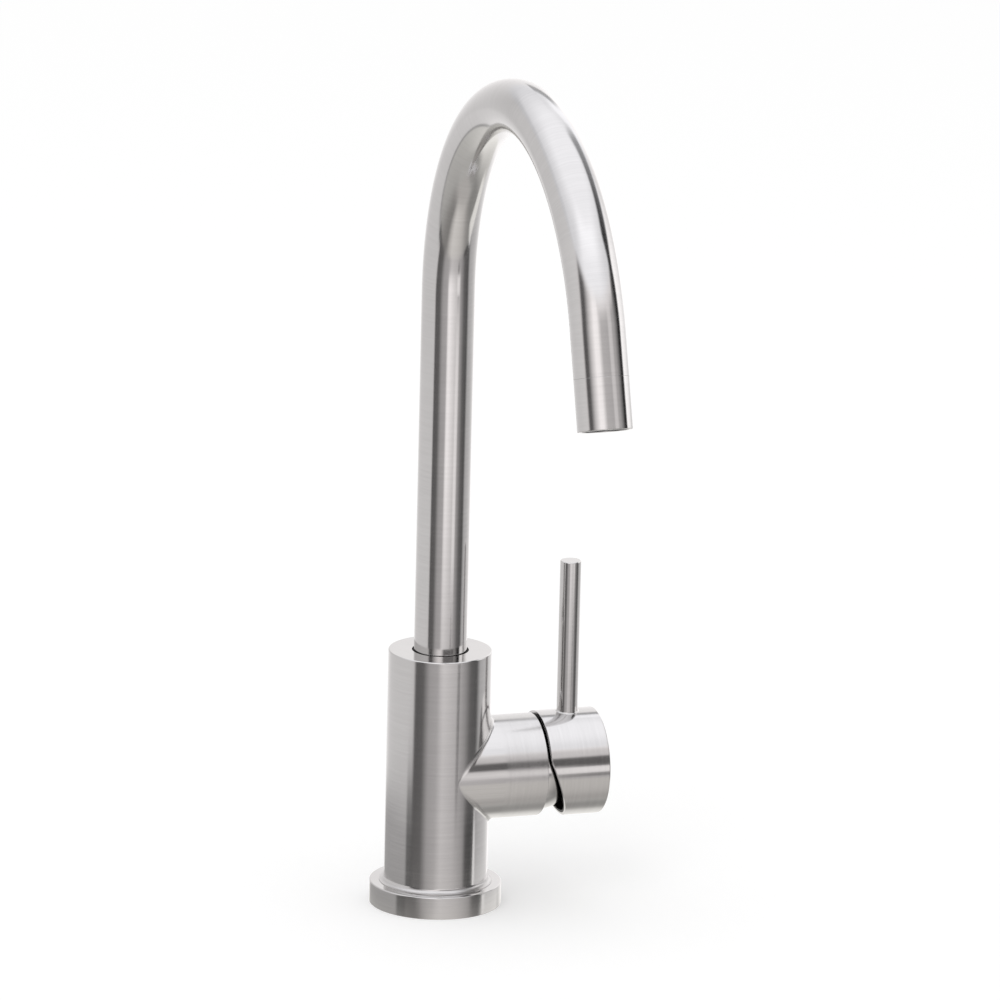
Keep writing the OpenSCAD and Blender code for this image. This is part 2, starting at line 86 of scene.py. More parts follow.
# modelling helpers
def deselectAll():
    if bpy.context.object and bpy.context.object.mode == "EDIT":
        bpy.ops.object.mode_set(mode="OBJECT")
    bpy.ops.object.select_all(action="DESELECT")


def pick(obj):
    deselectAll()
    obj.select_set(True)
    bpy.context.view_layer.objects.active = obj


def drawPiece(name, points, edges=(), faces=()):
    mesh = bpy.data.meshes.new(name)
    mesh.from_pydata([Vector(p) * mm for p in points], edges, faces)
    obj = bpy.data.objects.new(name, mesh)
    bpy.context.collection.objects.link(obj)
    return obj


def closeUp(obj):
    # merge doubles and point every face outwards
    pick(obj)
    bpy.ops.object.mode_set(mode="EDIT")
    bpy.ops.mesh.select_all(action="SELECT")
    bpy.ops.mesh.remove_doubles(threshold=mergeWithin)
    bpy.ops.mesh.normals_make_consistent(inside=False)
    bpy.ops.object.mode_set(mode="OBJECT")


def smooth(obj, angle=32):
    pick(obj)
    bpy.ops.object.shade_smooth_by_angle(angle=math.radians(angle))
    # wide faces keep their own direction beside a rounded rim
    weighted = obj.modifiers.new("weighted", "WEIGHTED_NORMAL")
    weighted.keep_sharp = True
    bpy.ops.object.modifier_apply(modifier=weighted.name)
    return obj


def turnOnLathe(name, outline, steps):
    # outline: (radius, height) corners in mm, closed round unless it starts and ends on the axis
    onAxis = outline[0][0] == 0 and outline[-1][0] == 0
    points = [(r, 0, h) for r, h in outline]
    edges = [(i, i + 1) for i in range(len(points) - 1)]
    if not onAxis:
        edges.append((len(points) - 1, 0))
    obj = drawPiece(name, points, edges)
    pick(obj)
    bpy.ops.object.mode_set(mode="EDIT")
    bpy.ops.mesh.select_all(action="SELECT")
    bpy.ops.mesh.spin(steps=steps, angle=2 * math.pi, center=(0, 0, 0), axis=(0, 0, 1))
    bpy.ops.object.mode_set(mode="OBJECT")
    closeUp(obj)
    return obj


def roundRims(obj, rims, segments=4):
    # rims: {(radius, height): width}, all in mm
    for (radius, height), width in rims.items():
        pick(obj)
        bpy.ops.object.mode_set(mode="EDIT")
        bpy.ops.mesh.select_all(action="DESELECT")
        bm = bmesh.from_edit_mesh(obj.data)
        for e in bm.edges:
            if all(abs(math.hypot(v.co.x, v.co.y) - radius * mm) < sameWithin
                   and abs(v.co.z - height * mm) < sameWithin for v in e.verts):
                e.select_set(True)
        bmesh.update_edit_mesh(obj.data)
        bpy.ops.mesh.bevel(offset=width * mm, segments=segments, affect="EDGES")
        bpy.ops.object.mode_set(mode="OBJECT")


def settle(obj, place=Matrix.Identity(4)):
    # the place goes into the mesh, and the object stays at the origin
    obj.data.transform(place)
    obj.matrix_world = Matrix.Identity(4)
    return obj


def cutAway(obj, *cutters):
    for c in cutters:
        pick(obj)
        m = obj.modifiers.new("cut", "BOOLEAN")
        m.operation = "DIFFERENCE"
        m.solver = "EXACT"
        m.object = c
        bpy.ops.object.modifier_apply(modifier=m.name)
        bpy.data.objects.remove(c)


def drillBit(radius, start, end, sides=48):
    # start and end in mm
    a, b = Vector(start), Vector(end)
    deselectAll()
    bpy.ops.mesh.primitive_cylinder_add(
        vertices=sides, radius=radius * mm, depth=(b - a).length * mm, location=(0, 0, 0))
    bit = bpy.context.object
    turn = (b - a).to_track_quat("Z", "Y").to_matrix().to_4x4()
    return settle(bit, Matrix.Translation((a + b) / 2 * mm) @ turn)


def skin(rings, capStart=True, capEnd=True):
    # points and faces of a shell through rings with the same number of points
    points = [p for ring in rings for p in ring]
    n = len(rings[0])
    faces = [
        (k * n + i, k * n + (i + 1) % n, (k + 1) * n + (i + 1) % n, (k + 1) * n + i)
        for k in range(len(rings) - 1) for i in range(n)]
    if capStart:
        faces.append(tuple(reversed(range(n))))
    if capEnd:
        faces.append(tuple(range((len(rings) - 1) * n, len(rings) * n)))
    return points, faces


def ballFillet(barR, trunkR, ball, turns, steps, sideBall=None, focus=10):
    # Rings where a ball rolls round a bar that stands on a trunk. The bar runs along +X from the
    # trunk's axis, and the trunk along Z. The first ring is on the trunk and the last on the bar.
    # The ball grows to sideBall at the bar's sides, over a shorter stretch for a higher focus.
    rings = [[] for _ in range(steps + 1)]
    for turn in turns:
        ballR = ball + ((sideBall or ball) - ball) * math.sin(turn) ** focus
        side, rise = (barR + ballR) * math.sin(turn), (barR + ballR) * math.cos(turn)
        out = math.sqrt((trunkR + ballR) ** 2 - side ** 2)
        heart = Vector((out, side, rise))
        toTrunk = Vector((-out, -side, 0)).normalized()
        toBar = Vector((0, -side, -rise)).normalized()
        for k in range(steps + 1):
            way = toTrunk.slerp(toBar, k / steps)
            rings[k].append(heart + way * ballR)
    return rings


# directions and centres that several pieces share
alongBarrel = Matrix(((0, 0, 1, 0), (0, 1, 0, 0), (-1, 0, 0, 0), (0, 0, 0, 1)))
barrelZ = 51.4
pivotX = 38.6


def onBarrel(x):
    # local Z runs out along +X, in mm from the column's axis
    return Matrix.Translation((x * mm, 0, barrelZ * mm)) @ alongBarrel


spout = {
    "radius": 10.0, "wall": 1.2, "foot": 88.0, "bendZ": 237.7, "bendR": 87.9,
    "bendAngle": 162.2, "run": 36.5, "sleeve": 19.0,
    "around": 128, "bendSteps": 180,
}


def pastBend(run):
    # local Z runs out of the outlet
    turn = math.radians(spout["bendAngle"])
    centre = Vector((0, -spout["bendR"], spout["bendZ"])) * mm
    return (Matrix.Translation(centre) @ Matrix.Rotation(turn, 4, "X")
            @ Matrix.Translation((0, spout["bendR"] * mm, run * mm)))


# finishes
class Sock:
    # a socket that takes part in sums
    def __init__(self, tree, socket):
        self.tree, self.socket = tree, socket

    def maths(self, operation, a, b=None):
        return self.tree.add("ShaderNodeMath", {"operation": operation}, {0: a, 1: b})["Value"]

    def __add__(self, other):
        return self.maths("ADD", self, other)

    def __sub__(self, other):
        return self.maths("SUBTRACT", self, other)

    def __mul__(self, other):
        return self.maths("MULTIPLY", self, other)

    def __truediv__(self, other):
        return self.maths("DIVIDE", self, other)

    def __radd__(self, other):
        return self.maths("ADD", other, self)

    def __rsub__(self, other):
        return self.maths("SUBTRACT", other, self)

    def __rmul__(self, other):
        return self.maths("MULTIPLY", other, self)


class Tree:
    def __init__(self, tree):
        self.nodes, self.links = tree.nodes, tree.links
        self.nodes.clear()

    def add(self, kind, settings=None, values=None):
        node = self.nodes.new(kind)
        for name, value in (settings or {}).items():
            if name == "stops":
                ramp = node.color_ramp
                while len(ramp.elements) < len(value):
                    ramp.elements.new(0.5)
                for element, (at, shade) in zip(ramp.elements, value):
                    element.position = at
                    element.color = (shade, shade, shade, 1)
            else:
                setattr(node, name, value)
        for name, value in (values or {}).items():
            if value is None:
                continue
            if isinstance(value, Sock):
                self.links.new(value.socket, node.inputs[name])
            else:
                node.inputs[name].default_value = value
        return {s.name: Sock(self, s) for s in node.outputs if s.enabled}


def newMaterial(name):
    material = bpy.data.materials.new(name)
    material.use_nodes = True
    return material, Tree(material.node_tree)


def noise(tree, vector, scale, detail=2.0, roughness=0.5):
    return tree.add("ShaderNodeTexNoise", {"noise_dimensions": "3D"}, {
        "Vector": vector, "Scale": scale, "Detail": detail, "Roughness": roughness})["Fac"]


def finishWith(tree, values):
    shader = tree.add("ShaderNodeBsdfPrincipled", None, values)["BSDF"]
    tree.add("ShaderNodeOutputMaterial", None, {"Surface": shader})


def tint(tree, factor, dark, light):
    # from dark to light, either of them a colour or a socket
    ends = {6: dark, 7: light}
    ends = {k: v if isinstance(v, Sock) else (*v, 1) for k, v in ends.items()}
    return tree.add("ShaderNodeMix", {"data_type": "RGBA"}, {"Factor": factor, **ends})["Result"]


def step(value, low, high):
    # 0 below low, 1 above high, soft between
    return value.tree.add("ShaderNodeMapRange", {"interpolation_type": "SMOOTHSTEP"}, {
        "Value": value, "From Min": low, "From Max": high})["Result"]


def fade(under, over, share):
    return under + (over - under) * share


def between(value, edges):
    # 0 outside the outer two edges, 1 within the inner two
    a, b, c, d = edges
    return step(value, a, b) * (1 - step(value, c, d))


def grey(tree, value):
    return tree.add("ShaderNodeCombineColor", None, {0: value, 1: value, 2: value})["Color"]


def objectPlace(tree):
    place = tree.add("ShaderNodeTexCoord")["Object"]
    parts = tree.add("ShaderNodeSeparateXYZ", None, {"Vector": place})
    return place, parts["X"], parts["Y"], parts["Z"]


steel = {  # grain counts are lines for each metre
    "dark": (0.525, 0.516, 0.512),
    "light": (0.712, 0.704, 0.699),
    # inside: painted shade for the hub's hollow, darker than the steel itself
    "inside": (0.045, 0.044, 0.042),
    "roughness": 0.125,
    "roughnessSpread": 0.07,
    "grainFine": 5200.0,  # across the grain
    "grainCoarse": 1000.0,
    "coarseShare": 0.55,
    "cloudShare": 0.25,
    "grainLength": 40.0,  # along the grain
    "grainDetail": 3.0,
    "grainCrumble": 0.6,
    "cloud": 55.0,  # soft patches
    "cloudDetail": 2.0,
    "cloudSpread": 0.05,
    "bump": 0.10,
    "bumpDepth": 0.00002,
}


def brushedLook(tree, place, across, s=steel):
    # across: the axis that the grain lines are stacked along
    layers = []
    for lines in (s["grainFine"], s["grainCoarse"]):
        stretch = [lines if k == across else s["grainLength"] for k in range(3)]
        mapped = tree.add("ShaderNodeMapping", None, {"Vector": place, "Scale": stretch})["Vector"]
        layers.append(noise(tree, mapped, 1.0, s["grainDetail"], s["grainCrumble"]))
    cloud = noise(tree, place, s["cloud"], s["cloudDetail"])
    grain = fade(layers[0], layers[1], s["coarseShare"])
    shade = fade(grain, cloud, s["cloudShare"])
    colour = tint(tree, shade, s["dark"], s["light"])
    roughness = s["roughness"] + (grain - 0.5) * s["roughnessSpread"] + (cloud - 0.5) * s["cloudSpread"]
    bump = tree.add("ShaderNodeBump", None, {
        "Strength": s["bump"], "Distance": s["bumpDepth"], "Height": grain})["Normal"]
    return {"Base Color": colour, "Metallic": 1.0, "Roughness": roughness, "Normal": bump}


def brushedSteel(name, across):
    material, tree = newMaterial(name)
    finishWith(tree, brushedLook(tree, objectPlace(tree)[0], across))
    return material


speckles = {"detail": 4.0, "crumble": 0.6, "cloudWider": 12, "cloudDetail": 2.0,
            "spread": 0.15, "depth": 0.00002}


def plainFinish(name, dark, light, metallic, roughness, scale, bump, s=speckles):
    material, tree = newMaterial(name)
    place = tree.add("ShaderNodeTexCoord")["Object"]
    speck = noise(tree, place, scale, s["detail"], s["crumble"])
    cloud = noise(tree, place, scale / s["cloudWider"], s["cloudDetail"])
    colour = tint(tree, speck * 0.5 + cloud * 0.5, dark, light)
    normal = tree.add("ShaderNodeBump", None, {
        "Strength": bump, "Distance": s["depth"], "Height": speck})["Normal"]
    finishWith(tree, {
        "Base Color": colour, "Metallic": metallic, "Normal": normal,
        "Roughness": roughness + (speck - 0.5) * s["spread"]})
    return material


steelUpright = brushedSteel("steelUpright", 2)  # turned about the upright axis
steelSideways = brushedSteel("steelSideways", 0)  # turned about the barrel's axis
finishes = {
    "brushed_steel": steelUpright,
    "dark_steel": plainFinish("darkSteel", (0.10, 0.10, 0.10), (0.19, 0.185, 0.18), 1.0, 0.38, 2500, 0.15),
    "brass": plainFinish("brass", (0.62, 0.45, 0.20), (0.76, 0.58, 0.28), 1.0, 0.30, 1800, 0.10),
    "rubber": plainFinish("rubber", (0.012, 0.012, 0.012), (0.03, 0.03, 0.03), 0.0, 0.65, 3000, 0.20),
    "acetal": plainFinish("acetal", (0.74, 0.74, 0.71), (0.82, 0.82, 0.79), 0.0, 0.42, 1500, 0.06),
    "grey_plastic": plainFinish(
        "greyPlastic", (0.20, 0.205, 0.215), (0.27, 0.275, 0.285), 0.0, 0.45, 2200, 0.12),
    "ceramic": plainFinish("ceramic", (0.80, 0.77, 0.70), (0.88, 0.86, 0.80), 0.0, 0.22, 900, 0.03),
}


def dress(obj, material, slotName, body, *nodes):
    obj.data.materials.clear()
    obj.data.materials.append(material)
    settle(obj)
    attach(obj, body)
    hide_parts(*nodes)
    print("piece", obj.name, len(obj.data.polygons), "faces")


slotOf = {p["node"]: p["material_slot"] for p in frame["record"]["subparts"]}
for node, obj in frame["nodes"].items():
    for place in obj.material_slots:
        place.material = finishes[slotOf[node]]
print("finishes made")


# column and side barrel, one casting
casting = {
    "columnR": 19.6, "columnTop": 99.0, "topEdge": 0.5, "baseH": 8.5,
    "flare": 1.8, "flareLip": 0.2, "spigotR": 17.0, "spigotLow": 1.5,
    "boreR": 10.7, "boreFloor": 61.5, "mouthEdge": 0.15,
    "barrelR": 19.5, "barrelEnd": 37.9, "barrelEdge": 0.2, "nutR": 15.0, "shoulder": 34.7,
    "cartridgeR": 12.5, "seat": 15.0,
    "inlet": (5, 8), "inletR": 4.5, "inletTop": 13.5, "studX": -9.5, "studR": 3.4, "studTop": 15.5,
    "screwR": 2.15, "screwZ": 80.5, "screwIn": 9, "screwOut": 25,
    "grainTurns": (20.5, 22.5), "barrelRougher": 0.08, "cornerFrom": (0.01, 0.2), "cornerRougher": 0.22,
    "ball": 1.8, "sideBall": 9.0, "ballSteps": 12, "turns": 208, "arcSteps": 6, "mouthSteps": 3,
}


def castingSteel(c):
    # brushed round the column, and round the barrel with a coarser grit
    material, tree = newMaterial("castingSteel")
    place, x, y, z = objectPlace(tree)
    barrel = step(x, *(a * mm for a in c["grainTurns"]))
    turned = tree.add("ShaderNodeCombineXYZ", None, {"X": z, "Y": y, "Z": x})["Vector"]
    along = tree.add("ShaderNodeMix", {"data_type": "VECTOR"}, {
        "Factor": barrel, 4: place, 5: turned})["Result"]
    look = brushedLook(tree, along, 2)
    # the wheel doesn't reach into the root of the barrel and the foot of the column
    rise = z - barrelZ * mm
    offColumn = x.maths("SQRT", x * x + y * y) - c["columnR"] * mm
    offBarrel = x.maths("SQRT", y * y + rise * rise) - c["barrelR"] * mm
    corner = step(x.maths("MINIMUM", offColumn, offBarrel), *(a * mm for a in c["cornerFrom"]))
    look["Roughness"] = look["Roughness"] + barrel * c["barrelRougher"] + corner * c["cornerRougher"]
    finishWith(tree, look)
    return material


def arc(centreR, centreZ, radius, start, end, steps):
    # (radius, height) points round a rim, angles in degrees from the outward direction
    return [(centreR + radius * math.cos(math.radians(start + (end - start) * k / steps)),
             centreZ + radius * math.sin(math.radians(start + (end - start) * k / steps)))
            for k in range(steps + 1)]


def makeCasting(c):
    quarter = c["turns"] // 4
    turns = [2 * math.pi * i / c["turns"] for i in range(c["turns"])]
    fillet = ballFillet(c["barrelR"], c["columnR"], c["ball"], turns, c["ballSteps"], c["sideBall"])
    lift = Vector((0, 0, barrelZ))
    fillet = [[p + lift for p in ring] for ring in fillet]
    upper = [fillet[0][i % c["turns"]] for i in range(-quarter, quarter + 1)]
    # the column's angles: those of the fillet's foot in front, and even ones behind
    angles = [math.atan2(p.y, p.x) for p in upper]
    edgeAngle = angles[-1]
    behind = c["turns"] // 2
    spread = 2 * math.pi - 2 * edgeAngle
    angles += [edgeAngle + spread * k / behind for k in range(1, behind)]
    count = len(angles)

    def hoop(radius, height):
        return [Vector((radius * math.cos(a), radius * math.sin(a), height)) for a in angles]

    r, flare = c["columnR"], c["flare"]
    below = [(c["spigotR"], c["spigotLow"]), (c["spigotR"], c["baseH"]), (r + flare, c["baseH"])]
    below += arc(r + flare, c["baseH"] + c["flareLip"] + flare, flare, 270, 180, c["arcSteps"])
    top, edge = c["columnTop"], c["topEdge"]
    above = arc(r - edge, top - edge, edge, 0, 90, c["arcSteps"])
    lip = c["mouthEdge"]
    above += arc(c["boreR"] + lip, top - lip, lip, 90, 180, c["mouthSteps"])
    above += [(c["boreR"], c["boreFloor"])]
    pointsA, facesA = skin([hoop(*p) for p in below], capEnd=False)
    pointsB, facesB = skin([hoop(*p) for p in above], capStart=False)
    # the barrel, from the fillet's last ring to the open end and in to the cartridge's seat
    end, bevel = c["barrelEnd"], c["barrelEdge"]
    tube = [(x, r) for r, x in arc(c["barrelR"] - bevel, end - bevel, bevel, 0, 90, c["arcSteps"])]
    tube += [(end, c["nutR"]), (c["shoulder"], c["nutR"])]
    tube += [(c["shoulder"], c["cartridgeR"]), (c["seat"], c["cartridgeR"])]
    outer = [[Vector((x, radius * math.sin(t), radius * math.cos(t) + barrelZ)) for t in turns]
             for x, radius in tube]
    pointsC, facesC = skin(fillet + outer, capStart=False)
    points = pointsA + pointsB + pointsC
    baseB, baseC = len(pointsA), len(pointsA) + len(pointsB)
    faces = list(facesA)
    faces += [tuple(i + baseB for i in f) for f in facesB]
    faces += [tuple(i + baseC for i in f) for f in facesC]
    low = len(pointsA) - count
    high = baseB

    def onLoop(k, raised):
        # place in the fillet's first ring of the kth column angle
        turn = (k - quarter) if raised else (3 * quarter - k)
        return baseC + turn % c["turns"]

    for k in range(count):
        nextK = (k + 1) % count
        if nextK <= 2 * quarter and k < 2 * quarter:
            faces.append((low + k, low + nextK, onLoop(nextK, False), onLoop(k, False)))
            faces.append((onLoop(k, True), onLoop(nextK, True), high + nextK, high + k))
        elif k == 2 * quarter:
            faces.append((low + k, low + nextK, high + nextK, high + k, onLoop(k, True)))
        elif nextK == 0:
            faces.append((low + k, low, onLoop(0, True), high, high + k))
        else:
            faces.append((low + k, low + nextK, high + nextK, high + k))
    obj = drawPiece("faucetBody", points, (), faces)
    closeUp(obj)
    return obj


def drillMounts(obj, c):
    # the two inlets, the stud's hole and the retaining screw's hole at the back
    x, y = c["inlet"]
    for side in (y, -y):
        cutAway(obj, drillBit(c["inletR"], (x, side, 0), (x, side, c["inletTop"])))
    cutAway(
        obj,
        drillBit(c["studR"], (c["studX"], 0, 0), (c["studX"], 0, c["studTop"])),
        drillBit(c["screwR"], (0, c["screwIn"], c["screwZ"]), (0, c["screwOut"], c["screwZ"])))


body = makeCasting(casting)
drillMounts(body, casting)
dress(smooth(body), castingSteel(casting), "brushed_steel", "faucet_body", "body")

# base ring
baseRing = {"radius": 24.99, "height": 8.5, "bore": 17.1, "edge": 0.4,
            "lowEdge": 0.2, "grooveIn": 18.55, "grooveOut": 23.45, "grooveH": 2.4,
            "turns": 256, "edgeSteps": 5, "lowSteps": 2}


def makeBaseRing(b):
    ring = turnOnLathe("baseRing", [
        (b["bore"], 0), (b["grooveIn"], 0), (b["grooveIn"], b["grooveH"]), (b["grooveOut"], b["grooveH"]),
        (b["grooveOut"], 0), (b["radius"], 0), (b["radius"], b["height"]),
        (b["bore"], b["height"])], b["turns"])
    roundRims(ring, {(b["radius"], b["height"]): b["edge"]}, b["edgeSteps"])
    roundRims(ring, {(b["radius"], 0): b["lowEdge"]}, b["lowSteps"])
    return smooth(ring)


dress(makeBaseRing(baseRing), steelUpright, "brushed_steel", "faucet_body", "escutcheon")

# black ring in the column's mouth
wiper = {"outer": 10.65, "inner": 10.06, "low": 95.2, "high": 98.2, "edge": 0.15,
         "turns": 128, "edgeSteps": 3}


def makeWiper(w):
    ring = turnOnLathe("wiperRing", [
        (w["inner"], w["low"]), (w["outer"], w["low"]),
        (w["outer"], w["high"]), (w["inner"], w["high"])], w["turns"])
    roundRims(ring, {(w["inner"], w["high"]): w["edge"]}, w["edgeSteps"])
    return smooth(ring)


dress(makeWiper(wiper), finishes["rubber"], "rubber", "faucet_body", "spout_wiper_ring")

# domed collar at the barrel's end
dome = {"radius": 17.3, "low": -0.4, "mouth": 8.6, "collar": 13.02, "steps": 16, "turns": 192}


def makeDome(d):
    top = math.degrees(math.asin(d["mouth"] / d["radius"]))
    low = math.degrees(math.asin(d["low"] / d["radius"]))
    outside = arc(0, 0, d["radius"], low, top, d["steps"])
    inside = [(d["collar"], d["mouth"]), (d["collar"], d["low"])]
    return settle(turnOnLathe("barrelDome", outside + inside, d["turns"]), onBarrel(pivotX))


dress(smooth(makeDome(dome)), steelSideways, "brushed_steel", "faucet_body", "bonnet")


# gooseneck tube
def makeSpoutTube(s):
    deselectAll()
    bpy.ops.mesh.primitive_circle_add(
        vertices=s["around"], radius=s["radius"] * mm, location=(0, 0, s["foot"] * mm))
    tube = bpy.context.object
    tube.name = "spoutTube"
    settle(tube, tube.matrix_world.copy())
    bpy.ops.object.mode_set(mode="EDIT")
    bpy.ops.mesh.select_all(action="SELECT")
    bpy.ops.mesh.extrude_region_move(
        TRANSFORM_OT_translate={"value": (0, 0, (s["bendZ"] - s["foot"]) * mm)})
    bpy.ops.mesh.spin(
        steps=s["bendSteps"], angle=-math.radians(s["bendAngle"]),
        center=(0, -s["bendR"] * mm, s["bendZ"] * mm), axis=(1, 0, 0))
    outward = pastBend(0).to_3x3() @ Vector((0, 0, 1))
    run = (s["run"] - s["sleeve"]) * mm
    bpy.ops.mesh.extrude_region_move(TRANSFORM_OT_translate={"value": outward * run})
    bpy.ops.object.mode_set(mode="OBJECT")
    closeUp(tube)
    wall = tube.modifiers.new("wall", "SOLIDIFY")
    wall.thickness = s["wall"] * mm
    wall.offset = -1
    wall.use_even_offset = True
    bpy.ops.object.modifier_apply(modifier=wall.name)
    closeUp(tube)
    # distance along the tube and the two ways across it, for the grain
    grain = tube.data.attributes.new("grain", "FLOAT_VECTOR", "POINT")
    bendZ, bendR = s["bendZ"] * mm, s["bendR"] * mm
    turned = math.radians(s["bendAngle"])
    back = pastBend(0).inverted()
    for v, g in zip(tube.data.vertices, grain.data):
        turn = math.atan2(v.co.z - bendZ, v.co.y + bendR)
        if v.co.z < bendZ and v.co.y > -bendR:
            g.vector = (v.co.x, v.co.y, v.co.z)
        elif turn < 0 or turn > turned:
            local = back @ v.co
            g.vector = (local.x, local.y, bendZ + bendR * turned + local.z)
        else:
            out = math.hypot(v.co.z - bendZ, v.co.y + bendR)
            g.vector = (v.co.x, out - bendR, bendZ + bendR * turn)
    return tube


def spoutSteel():
    # the grain runs round the tube, also through the bend
    material, tree = newMaterial("spoutSteel")
    place = tree.add("ShaderNodeAttribute", {"attribute_name": "grain"})["Vector"]
    finishWith(tree, brushedLook(tree, place, 2))
    return material


steelSpout = spoutSteel()
dress(smooth(makeSpoutTube(spout)), steelSpout, "brushed_steel", "spout", "spout_tube")

# outlet sleeve behind the hairline seam
sleeve = {"radius": 10.0, "seam": 0.15, "spigotR": 8.78, "spigotLen": 8.0, "bore": 7.4,
          "length": 19.0, "seat": 5.0, "mouth": 8.6, "lip": 0.35, "mouthLip": 0.25, "turns": 128,
          "grainShift": 0.6}  # so that its grain isn't the tube's


def makeSleeve(s):
    obj = turnOnLathe("outletSleeve", [
        (s["bore"], -s["spigotLen"]), (s["spigotR"], -s["spigotLen"]), (s["spigotR"], 0), (s["radius"], 0),
        (s["radius"], s["length"]), (s["mouth"], s["length"]),
        (s["mouth"], s["seat"]), (s["bore"], s["seat"])], s["turns"])
    roundRims(obj, {(s["radius"], 0): s["seam"], (s["radius"], s["length"]): s["lip"],
                    (s["mouth"], s["length"]): s["mouthLip"]})
    grain = obj.data.attributes.new("grain", "FLOAT_VECTOR", "POINT")
    for v, g in zip(obj.data.vertices, grain.data):
        g.vector = (v.co.x, v.co.y, v.co.z + s["grainShift"])
    return settle(obj, pastBend(spout["run"] - spout["sleeve"]))


dress(smooth(makeSleeve(sleeve)), steelSpout, "brushed_steel", "spout", "outlet_sleeve")

# handle hub, cut back below for the tilt
hub = {"radius": 20.2, "rim": 39.1, "end": 62.3, "edge": 0.5, "wall": 18.3, "depth": 51.5,
       "hollowR": 18.4, "bossR": 6.5, "bossLow": 50.0,
       "socket": 6.1, "socketEnd": 60.05, "socketPast": 0.1,
       "cutAngle": 20.0, "cutStart": 6.0, "cutRound": 12.0, "round": 0.2, "inEdge": 0.2,
       "turns": 256, "arcSteps": 5, "hollowSteps": 8,
       "rodX": 51.0, "rodHoleR": 2.55, "rodHole": (15, 24),
       "screwX": 55.0, "screwR": 2.15, "screw": (-2, -14), "plugR": 2.85, "plug": (-13, -24),
       # the radius and the length within which the hub's inside is painted dark as shade
       "paintedShadeWithin": (19.1, 19.4), "paintedShadeUpTo": (51.6, 52.4), "darkRougher": 0.35}


def cutAt(h, rise):
    # how far the rim is cut back at a height above the barrel's axis: not above, round, then slanted
    angle, bend = math.radians(h["cutAngle"]), h["cutRound"]
    reach = bend * math.tan(angle / 2)
    if rise > h["cutStart"] + reach:
        return 0.0
    if rise < h["cutStart"] - reach * math.cos(angle):
        return (h["cutStart"] - rise) * math.tan(angle)
    return bend - math.sqrt(bend ** 2 - (h["cutStart"] + reach - rise) ** 2)


def makeHub(h):
    turns = [2 * math.pi * i / h["turns"] for i in range(h["turns"])]

    def hoop(radius, x=None, inwards=0.0):
        # a ring at x, or inwards mm from the slanted rim
        ring = []
        for t in turns:
            rise = radius * math.cos(t)
            at = x if x is not None else h["rim"] + cutAt(h, rise) + inwards
            ring.append(Vector((at, radius * math.sin(t), rise + barrelZ)))
        return ring

    edge, soft = h["edge"], h["round"]
    outer = reversed(arc(h["radius"] - edge, h["end"] - edge, edge, 0, 90, h["arcSteps"]))
    rings = [hoop(r, x) for r, x in outer]
    rings += [hoop(r, None, -x) for r, x in arc(h["radius"] - soft, -soft, soft, 0, 90, h["arcSteps"])]
    rings += [hoop(h["wall"] + h["inEdge"]), hoop(h["wall"], None, h["inEdge"])]
    rings += [hoop(h["wall"], h["depth"])]
    # the hollow ends in a ball's shape about the pivot, round the boss that holds the stem
    start = math.degrees(math.asin((h["depth"] - pivotX) / h["hollowR"]))
    end = math.degrees(math.acos(h["bossR"] / h["hollowR"]))
    hollow = arc(0, 0, h["hollowR"], start, end, h["hollowSteps"])
    rings += [hoop(r, pivotX + x) for r, x in hollow]
    rings += [hoop(h["bossR"], h["bossLow"])]
    points, faces = skin(rings)
    obj = drawPiece("handleHub", points, (), faces)
    closeUp(obj)
    return obj


def drillHub(obj, h):
    # the stem's square socket, and the holes of the set screw, its plug and the rod
    deselectAll()
    deep = h["socketEnd"] - h["bossLow"] + h["socketPast"]
    bpy.ops.mesh.primitive_cube_add(
        size=mm, scale=(deep, h["socket"], h["socket"]),
        location=((h["socketEnd"] - deep / 2) * mm, 0, barrelZ * mm))
    socket = bpy.context.object
    cutAway(obj, settle(socket, socket.matrix_world.copy()))
    for x, radius, (start, end) in (
            (h["screwX"], h["screwR"], h["screw"]), (h["screwX"], h["plugR"], h["plug"]),
            (h["rodX"], h["rodHoleR"], h["rodHole"])):
        cutAway(obj, drillBit(radius, (x, 0, barrelZ + start), (x, 0, barrelZ + end)))


def hubSteel(h):
    # the turned inside is painted dark, as painted shade in the hollow that shows through the gap at the
    # rim
    material, tree = newMaterial("hubSteel")
    place, x, y, z = objectPlace(tree)
    rise = z - barrelZ * mm
    fromAxis = x.maths("SQRT", y * y + rise * rise)
    # painted shade: the hollow inside the rim, up to the boss, is darkened and made rougher
    within = 1 - step(fromAxis, *(a * mm for a in h["paintedShadeWithin"]))
    inside = within * (1 - step(x, *(a * mm for a in h["paintedShadeUpTo"])))
    look = brushedLook(tree, place, 0)
    look["Base Color"] = tint(tree, inside, look["Base Color"], steel["inside"])
    look["Roughness"] = look["Roughness"] + inside * h["darkRougher"]
    finishWith(tree, look)
    return material


handle = makeHub(hub)
drillHub(handle, hub)
dress(smooth(handle), hubSteel(hub), "brushed_steel", "lever", "hub")

# lever rod, flared on to the hub
rod = {"radius": 4.0, "ball": 0.7, "top": 79.1, "edge": 0.45, "thread": 2.5, "threadLow": 15.2,
       "threadSink": 0.05, "turns": 96, "arcSteps": 5, "ballSteps": 9, "sink": 0.01}


